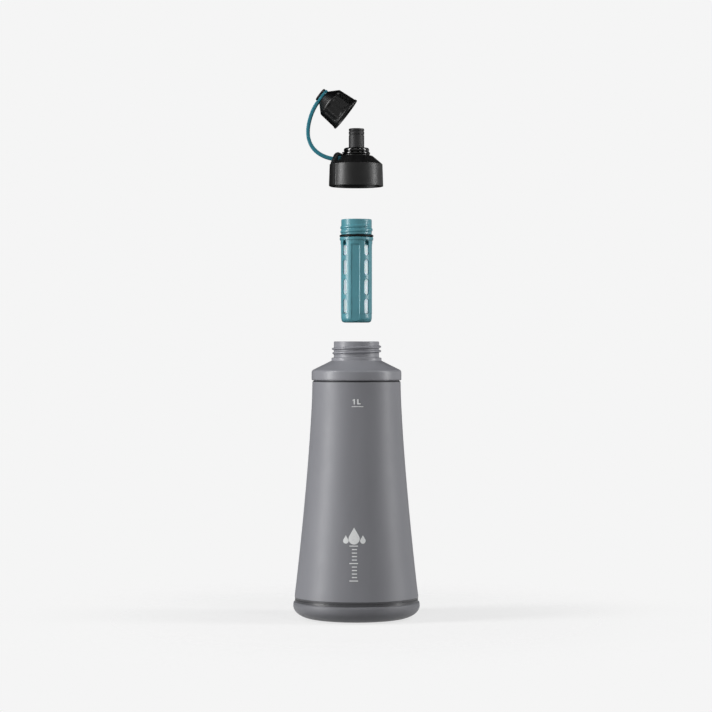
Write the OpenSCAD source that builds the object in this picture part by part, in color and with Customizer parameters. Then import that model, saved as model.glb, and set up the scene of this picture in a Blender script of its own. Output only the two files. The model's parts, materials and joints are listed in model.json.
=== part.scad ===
// Squeeze filter bottle, 1 litre. A soft tapered flask with a threaded neck, a screw cap
// with a drinking spout and a tethered dust cap, and a hollow-fibre filter cartridge that
// screws into the cap. The three groups are drawn apart along the axis they share: the
// cartridge hangs above the neck, and the cap above the cartridge.
// Millimetres, +Z up. The origin is the centre of the flask's underside, on the surface
// it stands on. +X points away from the side that carries the tether.

/* [Flask] */
// Radius at the widest place, just above the standing edge
base_r = 50.6; // [50:0.1:51.5]
// Radius of the wall at the seam above the base
seam_r = 49.7; // [49:0.1:49.9]
// Height of the seam between base and wall
seam_z = 15.4; // [14:0.1:17]
// Radius of the wall under the shoulder
top_r = 35.3; // [35:0.1:35.5]
// Height of the seam between wall and shoulder
shoulder_z = 189.6; // [188:0.1:191]
// Thickness of the soft wall
wall_t = 1.0; // [0.8:0.1:1.4]
// Height of the neck's rim
neck_top_z = 220.8; // [220.8:0.1:221.4]
// Outer radius of the neck
neck_r = 18.1; // [18:0.05:18.2]
// Radius of the neck's mouth
mouth_r = 16.6; // [16:0.1:16.8]

/* [Screw cap] */
// Height of the skirt's lower edge, drawn apart
cap_z = 344.8; // [344:0.1:346]
// Radius of the skirt at its lower edge
skirt_r = 21.4; // [21.3:0.1:22]
// Height of the skirt
skirt_h = 17.7; // [17.5:0.1:18]
// How far the panel under the tether stands proud of the skirt
panel_t = 0.7; // [0.4:0.1:0.9]
// Outer radius of the drinking spout
spout_r = 6.2; // [6:0.05:6.3]
// Radius of the water way through the spout
spout_bore_r = 3.2; // [2.5:0.1:3.4]
// Pitch of the cap's thread
cap_pitch = 3.5; // [3.4:0.05:3.6]

/* [Tether and dust cap] */
// Thickness of the strap
strap_t = 3.0; // [2.4:0.1:3.2]
// Width of the strap
strap_w = 5.0; // [4:0.1:5.4]
// How far the dust cap is swung open
open_deg = 52; // [45:1:60]
// Radius of the dust cap's rim
rim_r = 14.3; // [14.1:0.1:14.4]

/* [Filter cartridge] */
// Height of the cartridge's lower end, drawn apart
filter_z = 236.0; // [235:0.1:238]
// Radius of the cage
cage_r = 12.7; // [12.5:0.1:12.8]
// Width of the four grooves and of the notches under them
groove_w = 6.8; // [6:0.1:7.2]
// Width of a slot
slot_w = 4.6; // [4:0.1:5]
// Length of a slot
slot_l = 12.6; // [12:0.1:13]
// Distance from one slot to the next
slot_pitch = 15.6; // [15.4:0.1:15.8]
// Pitch of the cartridge's thread
filter_pitch = 3.4; // [3.3:0.05:3.5]
// Radius of one stand-in fibre strand
strand_r = 0.8; // [0.6:0.1:0.9]

/* [Hidden] */

round_fn = 96;                 // facets of a preview circle
air = 0.05;                    // gap between two pieces that seat on each other
weld_h = 5;                    // depth of the lips inside the flask's two seams
seam_gap = 0.4;                // width of the groove at a seam

wall_steps = 14;               // cone bands in the wall's flare
wall_flare = 1.4;              // exponent of the flare, 1 is a plain cone
edge_z = 10;                   // height of the widest place
edge_run = 16;                 // how far the standing edge rolls inwards
floor_t = 1.8;                 // thickness of the base at its edge
shoulder_r = 35.9;             // shoulder band
collar_z = 205.4;              // foot of the neck
collar_top_z = 207.9;          // top of the ring at the foot of the neck
neck_thread_z = 211.25;        // where the neck's thread starts
neck_thread_turns = 1.65;
neck_thread_deg = 165;         // bearing where the neck's thread starts

roof_z = 13.7;                 // underside of the cap's roof, above the skirt's edge
cone_top_z = 24.5;             // top of the cap's cone
cone_top_r = 12.8;
stub_top_z = 25.2;             // seat of the spout and its collar
collar_h = 5.6;                // height of the beaded collar
spout_top_z = 46.3;            // tip of the spout
socket_r = 13.15;              // bore of the cartridge's socket
socket_out_r = 15.4;
socket_z = 2.8;                // lower end of the socket
chamber_z = 17.4;              // top of the chamber over the cartridge
panel_half_deg = 38;           // half-angle of the panel under the tether
hood_half_deg = 26;            // half-angle of the hood that holds the tether
anchor_z = 21.8;               // middle of the tether where it enters the hood

pivot_x = -35.3;               // the bend of the strap about which the dust cap swings
pivot_z = cap_z + 33.7;
rim_z = cap_z + 26.9;          // dust cap's rim when it is closed

ring_u = 24.1;                 // middle of the tether's ring, above the dust cap's rim
ring_r = 6.0;                  // outer radius of that ring
ring_lift = ring_u + rim_z - pivot_z;
// Middle of the open ring, and the direction in which the strap leaves it
ring_x = pivot_x - pivot_x * cos(open_deg) - ring_lift * sin(open_deg);
ring_top_z = pivot_z - pivot_x * sin(open_deg) + ring_lift * cos(open_deg);
leave = [-cos(open_deg), -sin(open_deg)];
strap_end = [ring_x, ring_top_z] + leave * (ring_r + 0.4);
anchor = [-14.5, cap_z + anchor_z];  // where the strap's bow starts, in the hood
bend = [-38.8, cap_z + 43.2];    // outermost point of the strap's bow
strap_path = concat(
    [for (i = [0 : 15]) bezier([anchor, anchor + [-9.7, 0], bend + [0.2, -16], bend], i / 16)],
    [for (i = [0 : 16]) bezier([bend, bend + [-0.15, 8], strap_end + 7 * leave, strap_end],
        i / 16)]);

head_z = filter_z + 65.6;      // underside of the cartridge's flange
filter_top_z = filter_z + 82.4;
cage_z = filter_z + 7;         // lower end of the cage
cage_bore_r = 11.3;            // inside of the cage's lobes
groove_floor_r = 11.8;         // outside of the groove floors
groove_back_r = 10.5;          // inside of the groove floors
plug_r = 9.75;                 // potting plug
filter_turn = -4;              // how far the grooves are turned from the axes
ring_z = filter_z + 69.2;      // middle of the O-ring
core_r = 12.2;                 // cartridge's thread, at its root
filter_thread_z = ring_z + 2.6;
filter_thread_deg = 120;       // bearing where the cartridge's thread starts

// Where the cap and the cartridge come to when they are screwed home, and the inner
// threads, which lie half a pitch from the outer ones there
gasket_t = 1.4;
cap_home_z = neck_top_z + 2 * air + gasket_t - roof_z;
cap_thread_z = neck_thread_z + cap_pitch / 2 - cap_home_z;
filter_lift = cap_z + socket_z - air - (head_z + 2.5);
socket_thread_z = filter_thread_z + filter_lift + filter_pitch / 2 - cap_z;

// ---- shared shapes ----

// Solid of revolution from [radius, height] points
module turned(points) rotate_extrude($fn = round_fn) polygon(points);

// Hollow cylinder from z0 to z1
module tube(outer_r, inner_r, z0, z1)
    turned([[inner_r, z0], [outer_r, z0], [outer_r, z1], [inner_r, z1]]);

// Wedge of revolution, half_deg each side of the -X direction
module wedge(half_deg, points)
    rotate([0, 0, 180 - half_deg])
        rotate_extrude(angle = 2 * half_deg, $fn = round_fn) polygon(points);

// Points of a quarter ellipse about [cx, cy], from the X axis to the Y axis
function quarter(cx, cy, rx, ry, n = 6) =
    [for (i = [0 : n]) [cx + rx * cos(90 * i / n), cy + ry * sin(90 * i / n)]];

function backwards(list) = [for (i = [len(list) - 1 : -1 : 0]) list[i]];

function polar(r, deg, z) = [r * cos(deg), r * sin(deg), z];

// Two triangles between point i of ring a and of ring b, m points to a ring
function skin(a, b, m) = [for (i = [0 : m - 1]) let (j = (i + 1) % m)
    each [[a * m + i, a * m + j, b * m + j], [a * m + i, b * m + j, b * m + i]]];

// Helical ridge that fades out at both ends. It is rooted a little inside the wall at
// root_r and reaches tip_r, outwards or inwards.
module thread_ridge(root_r, tip_r, pitch, turns, z0, start_deg) {
    steps = round(turns * 24);
    fade_steps = 3;
    root_h = 0.42 * pitch / 2;
    tip_h = 0.14 * pitch / 2;
    embed = tip_r > root_r ? -0.3 : 0.3;
    corners = [for (i = [0 : steps])
        let (deg = start_deg + 360 * turns * i / steps,
             z = z0 + pitch * turns * i / steps,
             f = max(0.08, min(1, i / fade_steps, (steps - i) / fade_steps)),
             tip = root_r + (tip_r - root_r) * f)
        each [polar(root_r + embed, deg, z - root_h), polar(tip, deg, z - tip_h),
              polar(tip, deg, z + tip_h), polar(root_r + embed, deg, z + root_h)]];
    sides = [for (i = [0 : steps - 1]) each skin(i, i + 1, 4)];
    last = 4 * steps;
    ends = [[0, 2, 1], [0, 3, 2], [last, last + 1, last + 2], [last, last + 2, last + 3]];
    faces = concat(sides, ends);
    inwards = tip_r < root_r;
    polyhedron(corners, inwards ? [for (f = faces) backwards(f)] : faces);
}

// Point of a cubic curve with the four control points p
function bezier(p, t) = pow(1 - t, 3) * p[0] + 3 * t * pow(1 - t, 2) * p[1]
    + 3 * t * t * (1 - t) * p[2] + t * t * t * p[3];

// Strip swept along a path in the XZ plane. A section point is [along Y, across the path].
module swept_strip(path, section) {
    n = len(path);
    m = len(section);
    corners = [for (i = [0 : n - 1])
        let (d = path[min(i + 1, n - 1)] - path[max(i - 1, 0)], u = d / norm(d))
        for (s = section) [path[i].x - u.y * s.y, s.x, path[i].y + u.x * s.y]];
    sides = [for (i = [0 : n - 2]) each skin(i, i + 1, m)];
    last = (n - 1) * m;
    ends = [[for (j = [m - 1 : -1 : 0]) j], [for (j = [0 : m - 1]) last + j]];
    polyhedron(corners, [for (f = concat(sides, ends)) backwards(f)]);
}

// Round-ended slot cut, lying along X, width across Y and length along Z
module radial_slot(width, length, depth) {
    straight = length - width;
    rotate([90, 0, 90]) linear_extrude(depth) {
        square([width, straight], center = true);
        for (end = [-1, 1]) translate([0, end * straight / 2]) circle(d = width, $fn = 32);
    }
}

// ---- flask ----

function wall_r(z) = top_r + (seam_r - top_r)
    * pow(max(0, 1 - (z - seam_z) / (shoulder_z - seam_z)), wall_flare);

module flask_base() {
    lip_z = seam_z + weld_h;
    edge_in_r = base_r - edge_run;
    outer = concat([[seam_r, seam_z - seam_gap / 2], [base_r, edge_z + 1.4]],
        quarter(edge_in_r, edge_z, edge_run, -edge_z), [[31, 0], [29, 1.2], [0, 1.6]]);
    inner = concat([[0, 3.6], [30, 3.2]],
        backwards(quarter(edge_in_r, edge_z, edge_run - floor_t, floor_t - edge_z)),
        [[base_r - 2.2, edge_z + 1.4], [wall_r(seam_z) - 2.3, seam_z],
         [wall_r(lip_z) - 2.2, lip_z], [wall_r(lip_z) - wall_t - air, lip_z],
         [seam_r - wall_t - air, seam_z - seam_gap / 2]]);
    color([0.48, 0.48, 0.50]) turned(concat(outer, inner));
}

module flask_body() {
    z0 = seam_z + seam_gap / 2;
    z1 = shoulder_z - seam_gap / 2;
    heights = [for (i = [0 : wall_steps]) z0 + (z1 - z0) * i / wall_steps];
    color([0.44, 0.44, 0.46]) turned(concat(
        [for (z = heights) [wall_r(z), z]],
        [for (z = backwards(heights)) [wall_r(z) - wall_t, z]]));
}

module flask_shoulder() {
    z0 = shoulder_z + seam_gap / 2;
    lip_r = top_r - wall_t - air;
    corner = quarter(shoulder_r - 2.4, 195.2, 2.4, 2.4);
    color([0.42, 0.42, 0.44]) {
        turned(concat(
            [[lip_r, z0 - weld_h - seam_gap], [lip_r, z0], [shoulder_r, z0]],
            [for (i = [0 : 5]) corner[i]],
            [[21.4, collar_z - 0.6], [20.0, collar_z + 0.1], [20.0, collar_top_z - 0.6],
             [19.4, collar_top_z], [neck_r, collar_top_z + 0.1], [neck_r, neck_top_z - 0.6],
             [neck_r - 0.6, neck_top_z], [mouth_r, neck_top_z], [mouth_r, collar_z - 0.6],
             [33.0, 196.0], [34.2, 195.0], [lip_r - 1.4, z0], [lip_r - 1.4, z0 - weld_h]]));
        thread_ridge(neck_r, neck_r + 1.6, cap_pitch, neck_thread_turns, neck_thread_z,
            neck_thread_deg);
    }
}

// ---- filter cartridge ----

// The cage follows its grooves inside as well, so its wall is the same all round
module filter_cage() {
    wall_y = groove_w + 1.6;
    color([0.32, 0.55, 0.59]) difference() {
        turned([[0, cage_z], [cage_r, cage_z], [cage_r, head_z], [0, head_z]]);
        difference() {
            translate([0, 0, cage_z - 1])
                cylinder(r = cage_bore_r, h = head_z - cage_z + 2, $fn = round_fn);
            for (turn = [0 : 90 : 270]) rotate([0, 0, filter_turn + turn])
                translate([groove_back_r, -wall_y / 2, cage_z - 2])
                    cube([3, wall_y, head_z - cage_z + 4]);
        }
        for (turn = [0 : 90 : 270]) rotate([0, 0, filter_turn + turn]) {
            translate([groove_floor_r, -groove_w / 2, cage_z - 1])
                cube([2, groove_w, head_z - cage_z - 2]);
            for (row = [0 : 3])
                rotate([0, 0, 45]) translate([9.5, 0, cage_z + 5.6 + slot_pitch * row])
                    radial_slot(slot_w, slot_l, 5);
        }
    }
}

module filter_foot() {
    color([0.30, 0.53, 0.57]) difference() {
        turned(concat([[groove_back_r, cage_z], [cage_r - 0.1, cage_z]],
            quarter(9.7, filter_z + 4, 2.9, -4),
            [[6.4, filter_z], [5.2, filter_z + 1.2], [5.2, filter_z + 2.2],
             [8.0, filter_z + 2.4]],
            backwards(quarter(8.0, filter_z + 4.8, 2.5, -2.4, 3))));
        for (turn = [0 : 90 : 270]) rotate([0, 0, filter_turn + turn]) {
            translate([groove_floor_r, -groove_w / 2, filter_z + 2])
                cube([2, groove_w, 8]);
            translate([6.5, 0, filter_z - 2.1]) rotate([0, 90, 0])
                cylinder(r = groove_w / 2 - 0.4, h = 8, $fn = 48);
        }
    }
}

module filter_head() {
    bore_r = 9.8;
    color([0.31, 0.55, 0.58]) {
        turned([[bore_r, head_z - 4], [groove_back_r - air, head_z - 4],
            [groove_back_r - air, head_z], [13.0, head_z], [13.4, head_z + 0.5],
            [13.4, head_z + 2.0], [13.1, head_z + 2.5], [11.6, head_z + 2.5],
            [11.6, ring_z + 1.1], [core_r, ring_z + 1.2], [core_r, filter_top_z - 0.5],
            [core_r - 0.5, filter_top_z], [bore_r, filter_top_z]]);
        thread_ridge(core_r, core_r + 0.7, filter_pitch, 1.6, filter_thread_z,
            filter_thread_deg);
    }
}

module filter_o_ring() {
    color([0.05, 0.05, 0.05]) translate([0, 0, ring_z])
        rotate_extrude($fn = round_fn) translate([12.7, 0]) circle(r = 0.9, $fn = 24);
}

module potting_plug()
    color([0.90, 0.88, 0.80]) turned([[0, head_z - 3.5], [plug_r, head_z - 3.5],
        [plug_r, head_z + 7], [0, head_z + 7]]);

// One strand goes up on both sides of a bend
module fibre_loop(reach, z0, z1) {
    for (side = [-1, 1]) translate([side * reach, 0, z0])
        cylinder(r = strand_r, h = z1 - z0, $fn = 16);
    translate([0, 0, z0]) rotate([-90, 0, 0]) rotate_extrude(angle = 180, $fn = 24)
        translate([reach, 0]) circle(r = strand_r, $fn = 16);
}

module hollow_fibres() {
    reach = 1.2;
    bundle_r = 9.2;
    rows = 3;
    color([0.95, 0.95, 0.93])
        for (row = [-rows : rows]) {
            y = row * 2.4;
            half = sqrt(bundle_r * bundle_r - y * y);
            count = floor(2 * half / (4 * reach));
            for (i = [0 : count - 1])
                translate([(i - (count - 1) / 2) * 4 * reach, y, 0])
                    fibre_loop(reach, filter_z + 8.5, head_z - 3.5);
        }
}

// ---- screw cap ----

module cap_shell() {
    panel_top = skirt_h + 0.4;
    skirt_top_r = skirt_r - 0.6;
    panel = [[skirt_r - 0.8, 0.3], [skirt_r + panel_t + 0.1, 0.3],
        [skirt_top_r + panel_t, panel_top], [skirt_top_r - 1.6, panel_top],
        [skirt_top_r - 1.6, roof_z + 1.4], [skirt_top_r - 0.3, roof_z + 0.6]];
    hood = [[17.6, 16.6], [21.1, 17.4], [20.0, 21.4], [18.0, 25.6], [16.8, 26.8],
        [15.9, 26.9], [10.6, 24.9], [10.6, 23.6], [15.2, 25.0], [16.1, 24.4], [17.6, 19.4]];
    pocket_in_r = 12.2;
    color([0.10, 0.10, 0.11]) translate([0, 0, cap_z]) {
        difference() {
            turned([[skirt_r - 0.7, 0], [skirt_r, 0], [skirt_top_r, skirt_h - 0.5],
                [skirt_top_r - 0.5, skirt_h + 0.2], [cone_top_r + 0.3, cone_top_z - 0.3],
                [cone_top_r - 0.4, cone_top_z], [10.0, cone_top_z], [10.0, stub_top_z],
                [spout_bore_r, stub_top_z], [spout_bore_r, 20.4], [11.8, chamber_z],
                [socket_r, chamber_z], [socket_r, roof_z + 0.8],
                [socket_out_r + air, roof_z + 0.8], [socket_out_r + air, roof_z],
                [20.2, roof_z], [20.2, 1.2]]);
            translate([-18.2, -10.5, 18.8]) cube([18.2 - pocket_in_r, 21, 10]);
        }
        wedge(panel_half_deg, panel);
        difference() {
            wedge(hood_half_deg, hood);
            translate([-24, -strap_w / 2 - 0.4, anchor_z - strap_t / 2 - 0.4])
                cube([9, strap_w + 0.8, strap_t + 0.8]);
        }
        thread_ridge(20.2, 19.0, cap_pitch, 1.6, cap_thread_z, neck_thread_deg);
    }
}

module cap_gasket()
    color([0.16, 0.16, 0.17]) tube(20.0, 16.9, cap_z + roof_z - air - gasket_t,
        cap_z + roof_z - air);

module filter_socket() {
    lip_z = socket_z + 3.4;
    color([0.13, 0.13, 0.14]) translate([0, 0, cap_z]) {
        turned([[13.9, socket_z], [socket_out_r, socket_z], [socket_out_r, roof_z + 0.75],
            [socket_r, roof_z + 0.75], [socket_r, lip_z + 0.6], [13.75, lip_z]]);
        thread_ridge(socket_r, socket_r - 0.7, filter_pitch, 1.5, socket_thread_z,
            filter_thread_deg);
    }
}

module spout_grommet()
    color([0.20, 0.20, 0.21]) tube(8.0, spout_bore_r, cap_z + stub_top_z + air,
        cap_z + stub_top_z + 0.75);

module mouthpiece() {
    foot_z = stub_top_z + 0.8;
    ring_cuts = [40.9, 43.9];  // lower edges of the two grooves near the tip
    color([0.20, 0.20, 0.21]) translate([0, 0, cap_z]) difference() {
        turned(concat([[spout_bore_r, foot_z], [8.0, foot_z], [8.0, foot_z + 1.0],
            [spout_r, foot_z + 1.4], [spout_r, 40.6]],
            quarter(spout_r - 1.1, spout_top_z - 0.8, 0.9, 0.8, 4),
            [[spout_bore_r, spout_top_z]]));
        for (z = ring_cuts) tube(spout_r + 1, spout_r - 0.35, z, z + 0.6);
    }
}

// Outside of one bead of the collar, between two angles
function bead(cx, cy, rx, ry, from_deg, to_deg) =
    [for (a = [from_deg : 20 : to_deg]) [cx + rx * cos(a), cy + ry * sin(a)]];

module spout_collar() {
    inner_r = spout_r + 0.3;
    color([0.03, 0.03, 0.03]) translate([0, 0, cap_z]) {
        turned(concat([[8.3, stub_top_z + air]],
            bead(9.75, stub_top_z + 1.2, 1.2, 1.17, -70, 70),
            bead(8.95, stub_top_z + 3.75, 1.25, 1.75, -50, 70),
            [[8.6, stub_top_z + collar_h], [inner_r, stub_top_z + collar_h],
             [inner_r, stub_top_z + 2.4], [8.3, stub_top_z + 2.2]]));
        translate([-11.5, -1.2, stub_top_z + 1.2]) cube([1.6, 2.4, 1.1]);
    }
}

// ---- tether and dust cap ----

// Moves a child drawn with the dust cap's rim on z = 0 to where the open dust cap is
module on_dust_cap()
    translate([pivot_x, 0, pivot_z]) rotate([0, -open_deg, 0])
        translate([-pivot_x, 0, rim_z - pivot_z]) children();

module tether_strap() {
    end_w = 12;                // width of the bar that holds the strap in the hood
    w = strap_w / 2;
    t = strap_t / 2;
    section = [[-w, -t / 2], [-w + 0.7, -t], [w - 0.7, -t], [w, -t / 2],
        [w, t / 2], [w - 0.7, t], [-w + 0.7, t], [-w, t / 2]];
    color([0.10, 0.38, 0.42]) {
        swept_strip(strap_path, section);
        translate([-14.9, -end_w / 2, cap_z + anchor_z - 2.6]) cube([2.3, end_w, 4.9]);
    }
}

module tether_ring() {
    color([0.12, 0.42, 0.46]) on_dust_cap() {
        tube(ring_r, 4.3, ring_u - 1.1, ring_u + 1.0);
        difference() {
            translate([-ring_r - 0.3, -strap_w / 2, ring_u - 1.1]) cube([3, strap_w, 2.1]);
            cylinder(r = 5, h = 60, $fn = round_fn);
        }
    }
}

module tether_button() {
    color([0.05, 0.05, 0.05]) on_dust_cap()
        turned([[0, ring_u - 0.6], [2.3, ring_u - 0.6], [2.3, ring_u + 1.25],
            [5.3, ring_u + 1.25], [5.6, ring_u + 1.6], [5.6, ring_u + 2.4],
            [5.0, ring_u + 2.9], [0, ring_u + 2.9]]);
}

module dust_cap() {
    flutes = 12;
    color([0.06, 0.06, 0.06]) on_dust_cap() difference() {
        turned([[12.2, 0], [rim_r - 0.3, 0], [rim_r, 0.4], [rim_r, 1.3], [13.8, 1.8],
            [12.4, 16.1], [11.8, 16.9], [6.2, 22.5], [5.6, 22.8], [4.0, 22.8], [4.0, 25.3],
            [2.4, 25.3], [2.4, 23.3], [0, 23.3], [0, 20.3], [6.0, 20.3], [6.2, 19.8],
            [10.8, 15.1], [11.9, 1.0]]);
        for (i = [0 : flutes - 1]) rotate([0, 0, 360 * (i + 0.5) / flutes])
            translate([16.65, 0, 2.6]) rotate([0, -5.6, 0]) cylinder(r = 3.4, h = 12.4, $fn = 48);
    }
}

module dust_cap_liner()
    color([0.35, 0.35, 0.36]) on_dust_cap()
        turned([[0, 19.55], [5.7, 19.55], [5.7, 20.25], [0, 20.25]]);

flask_base();
flask_body();
flask_shoulder();
filter_foot();
filter_cage();
filter_head();
filter_o_ring();
potting_plug();
hollow_fibres();
cap_shell();
cap_gasket();
filter_socket();
spout_grommet();
mouthpiece();
spout_collar();
tether_strap();
tether_ring();
tether_button();
dust_cap();
dust_cap_liner();
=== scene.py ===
"""Squeeze filter bottle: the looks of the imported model. Metres, +Z up, the CAD frame."""
import json
import math
import random

import bmesh
import bpy
import numpy as np
from mathutils import Matrix, Vector


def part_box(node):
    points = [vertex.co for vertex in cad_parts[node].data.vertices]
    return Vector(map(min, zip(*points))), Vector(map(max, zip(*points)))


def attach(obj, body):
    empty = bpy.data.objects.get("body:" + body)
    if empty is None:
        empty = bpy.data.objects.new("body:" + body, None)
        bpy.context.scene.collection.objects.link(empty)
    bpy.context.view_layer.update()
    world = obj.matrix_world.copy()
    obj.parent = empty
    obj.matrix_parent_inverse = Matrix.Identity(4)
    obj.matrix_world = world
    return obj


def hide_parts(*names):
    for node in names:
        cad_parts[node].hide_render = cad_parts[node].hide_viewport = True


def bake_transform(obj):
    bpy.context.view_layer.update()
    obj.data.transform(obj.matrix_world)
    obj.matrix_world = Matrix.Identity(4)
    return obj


MM = 0.001
ROUND = 192  # steps round a turned piece

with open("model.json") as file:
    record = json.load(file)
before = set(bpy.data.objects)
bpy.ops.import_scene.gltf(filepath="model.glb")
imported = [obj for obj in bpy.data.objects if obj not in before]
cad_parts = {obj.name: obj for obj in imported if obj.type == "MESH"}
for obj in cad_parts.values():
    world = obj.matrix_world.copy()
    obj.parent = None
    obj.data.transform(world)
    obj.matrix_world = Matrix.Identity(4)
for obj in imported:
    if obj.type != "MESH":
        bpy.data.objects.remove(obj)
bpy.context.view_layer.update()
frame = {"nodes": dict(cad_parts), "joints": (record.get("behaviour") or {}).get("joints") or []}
JOINTS = {j["name"]: j for j in frame["joints"]}


# ---------------------------------------------------------------- camera

VIEW_DISTANCE = 1.84  # from the axis to the lens
VIEW_HEIGHT = 0.2092
VIEW_SIDE = -0.0004  # how far the lens stands beside the axis
FRAME_WIDTH = 0.5696  # what the camera takes in at the axis
SENSOR = 36.0


def make_camera():
    data = bpy.data.cameras.new("camera")
    data.sensor_width = SENSOR
    data.lens = SENSOR * VIEW_DISTANCE / FRAME_WIDTH
    data.clip_start = 0.05
    data.clip_end = 50
    cam = bpy.data.objects.new("camera", data)
    bpy.context.scene.collection.objects.link(cam)
    cam.location = (VIEW_SIDE, -VIEW_DISTANCE, VIEW_HEIGHT)
    cam.rotation_euler = (math.radians(90), 0, 0)
    bpy.context.scene.camera = cam


make_camera()


# ---------------------------------------------------------------- mesh tools


def new_object(name, mesh):
    obj = bpy.data.objects.new(name, mesh)
    bpy.context.scene.collection.objects.link(obj)
    return obj


def mesh_object(name, verts, faces, sharp_deg=40):
    """A smooth-shaded mesh with its sharp edges marked and its normals outwards."""
    mesh = bpy.data.meshes.new(name)
    mesh.from_pydata([tuple(v) for v in verts], [], [tuple(f) for f in faces])
    bm = bmesh.new()
    bm.from_mesh(mesh)
    bmesh.ops.remove_doubles(bm, verts=bm.verts, dist=1e-7)
    bmesh.ops.recalc_face_normals(bm, faces=bm.faces)
    bm.to_mesh(mesh)
    bm.free()
    smooth(mesh, sharp_deg)
    return new_object(name, mesh)


def smooth(mesh, sharp_deg=40):
    mesh.shade_smooth()
    mesh.set_sharp_from_angle(angle=math.radians(sharp_deg))


def bake_modifiers(obj, sharp_deg=40):
    """Replaces obj's mesh with what its modifiers make of it."""
    bpy.context.view_layer.update()
    shown = obj.evaluated_get(bpy.context.evaluated_depsgraph_get())
    mesh = bpy.data.meshes.new_from_object(shown)
    obj.modifiers.clear()
    obj.data = mesh
    smooth(mesh, sharp_deg)
    return obj


def cut(obj, *tools, operation="DIFFERENCE", sharp_deg=40):
    """Takes the tools out of obj, or joins them to it, and deletes them."""
    for tool in tools:
        boolean = obj.modifiers.new("cut", "BOOLEAN")
        boolean.operation = operation
        boolean.solver = "EXACT"
        boolean.object = tool
    bake_modifiers(obj, sharp_deg)
    for tool in tools:
        bpy.data.objects.remove(tool)
    return obj


def soften(obj, width, segments, angle_deg):
    """Rounds obj's edges by width, in metres."""
    bevel = obj.modifiers.new("bevel", "BEVEL")
    bevel.width = width
    bevel.segments = segments
    bevel.limit_method = "ANGLE"
    bevel.angle_limit = math.radians(angle_deg)
    bevel.use_clamp_overlap = True
    return bake_modifiers(obj, 50)


def join(name, *objs):
    """One object of several, which are deleted."""
    bm = bmesh.new()
    for obj in objs:
        part = obj.data.copy()
        part.transform(obj.matrix_world)
        bm.from_mesh(part)
        bpy.data.meshes.remove(part)
    mesh = bpy.data.meshes.new(name)
    bm.to_mesh(mesh)
    bm.free()
    for obj in objs:
        bpy.data.objects.remove(obj)
    smooth(mesh)
    return new_object(name, mesh)


def arc(corner, before, after, radius, steps=6):
    """Points that round the corner of a polyline by radius."""
    corner, a, b = (np.array(p[:2], float) for p in (corner, before, after))
    u, v = a - corner, b - corner
    lu, lv = np.linalg.norm(u), np.linalg.norm(v)
    u, v = u / lu, v / lv
    half = math.acos(float(np.clip(u @ v, -1, 1))) / 2
    reach = min(radius / math.tan(half), 0.48 * lu, 0.48 * lv)
    radius = reach * math.tan(half)
    centre = corner + (u + v) / np.linalg.norm(u + v) * radius / math.sin(half)
    start, end = corner + u * reach - centre, corner + v * reach - centre
    turn = math.atan2(start[0] * end[1] - start[1] * end[0], float(start @ end))
    points = []
    for i in range(steps + 1):
        t = turn * i / steps
        c, s = math.cos(t), math.sin(t)
        points.append(centre + [start[0] * c - start[1] * s, start[0] * s + start[1] * c])
    return points


def rounded(points, steps=6):
    """A closed outline with rounded corners, in mm. A point is (radius, height), and a third
    number is the rounding of its corner."""
    out = []
    for i, p in enumerate(points):
        if len(p) > 2:
            out += arc(p, points[i - 1], points[(i + 1) % len(points)], p[2], steps)
        else:
            out.append(np.array(p[:2], float))
    return [(float(x), float(z)) for x, z in out]


def dense(points, step, z_from=-1e9, z_to=1e9):
    """The closed outline with extra points on the stretches between two heights."""
    out = []
    for i, (r, z) in enumerate(points):
        next_r, next_z = points[(i + 1) % len(points)]
        out.append((r, z))
        run, rise = next_r - r, next_z - z
        count = int(math.hypot(run, rise) / step)
        if z_from <= (z + next_z) / 2 <= z_to:
            out += [(r + run * k / count, z + rise * k / count) for k in range(1, count)]
    return out


def turned(name, outline, shift=None, span=None, steps=ROUND, sharp_deg=40):
    """A closed outline in mm turned about Z. shift(angle, r, z) gives each point's added
    radius in mm. span is the first and last angle of a part turn."""
    outline = [p for i, p in enumerate(outline) if p != outline[i - 1]]
    first, last = span or (0, 2 * math.pi)
    columns = steps if span is None else steps + 1
    verts, faces = [], []
    for i in range(columns):
        a = first + (last - first) * i / steps
        for r, z in outline:
            if shift and r > 0.01:
                r = r + shift(a, r, z)
            verts.append((r * math.cos(a) * MM, r * math.sin(a) * MM, z * MM))
    m = len(outline)
    for i in range(steps):
        k = (i + 1) % columns
        for j in range(m):
            n = (j + 1) % m
            if outline[j][0] < 0.01 and outline[n][0] < 0.01:
                continue
            faces.append((i * m + j, k * m + j, k * m + n, i * m + n))
    if span:
        faces += [tuple(range(m)), tuple(range(steps * m, columns * m))]
    verts, faces = weld_axis(verts, faces)
    return mesh_object(name, verts, faces, sharp_deg)


def weld_axis(verts, faces):
    """Makes one vertex of each ring of vertices that lies on the axis."""
    seen, keep = {}, []
    for i, v in enumerate(verts):
        on_axis = math.hypot(v[0], v[1]) < 1e-8
        key = ("axis", round(v[2], 9)) if on_axis else i
        keep.append(seen.setdefault(key, i))
    cleaned = []
    for f in faces:
        ring = []
        for v in (keep[i] for i in f):
            if v not in ring:
                ring.append(v)
        if len(ring) > 2:
            cleaned.append(ring)
    return verts, cleaned


def up(points, z):
    """The outline points, raised by z."""
    return [(p[0], p[1] + z, *p[2:]) for p in points]


def ellipse(cx, cz, rx, rz, start_deg, end_deg, steps):
    """Points along an arc of an ellipse about (cx, cz)."""
    points = []
    for i in range(steps + 1):
        a = math.radians(start_deg + (end_deg - start_deg) * i / steps)
        points.append((cx + rx * math.cos(a), cz + rz * math.sin(a)))
    return points


def step_up(x, start, end):
    """0 below start, 1 above end and smooth between."""
    t = min(1.0, max(0.0, (x - start) / (end - start)))
    return t * t * (3 - 2 * t)


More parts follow.
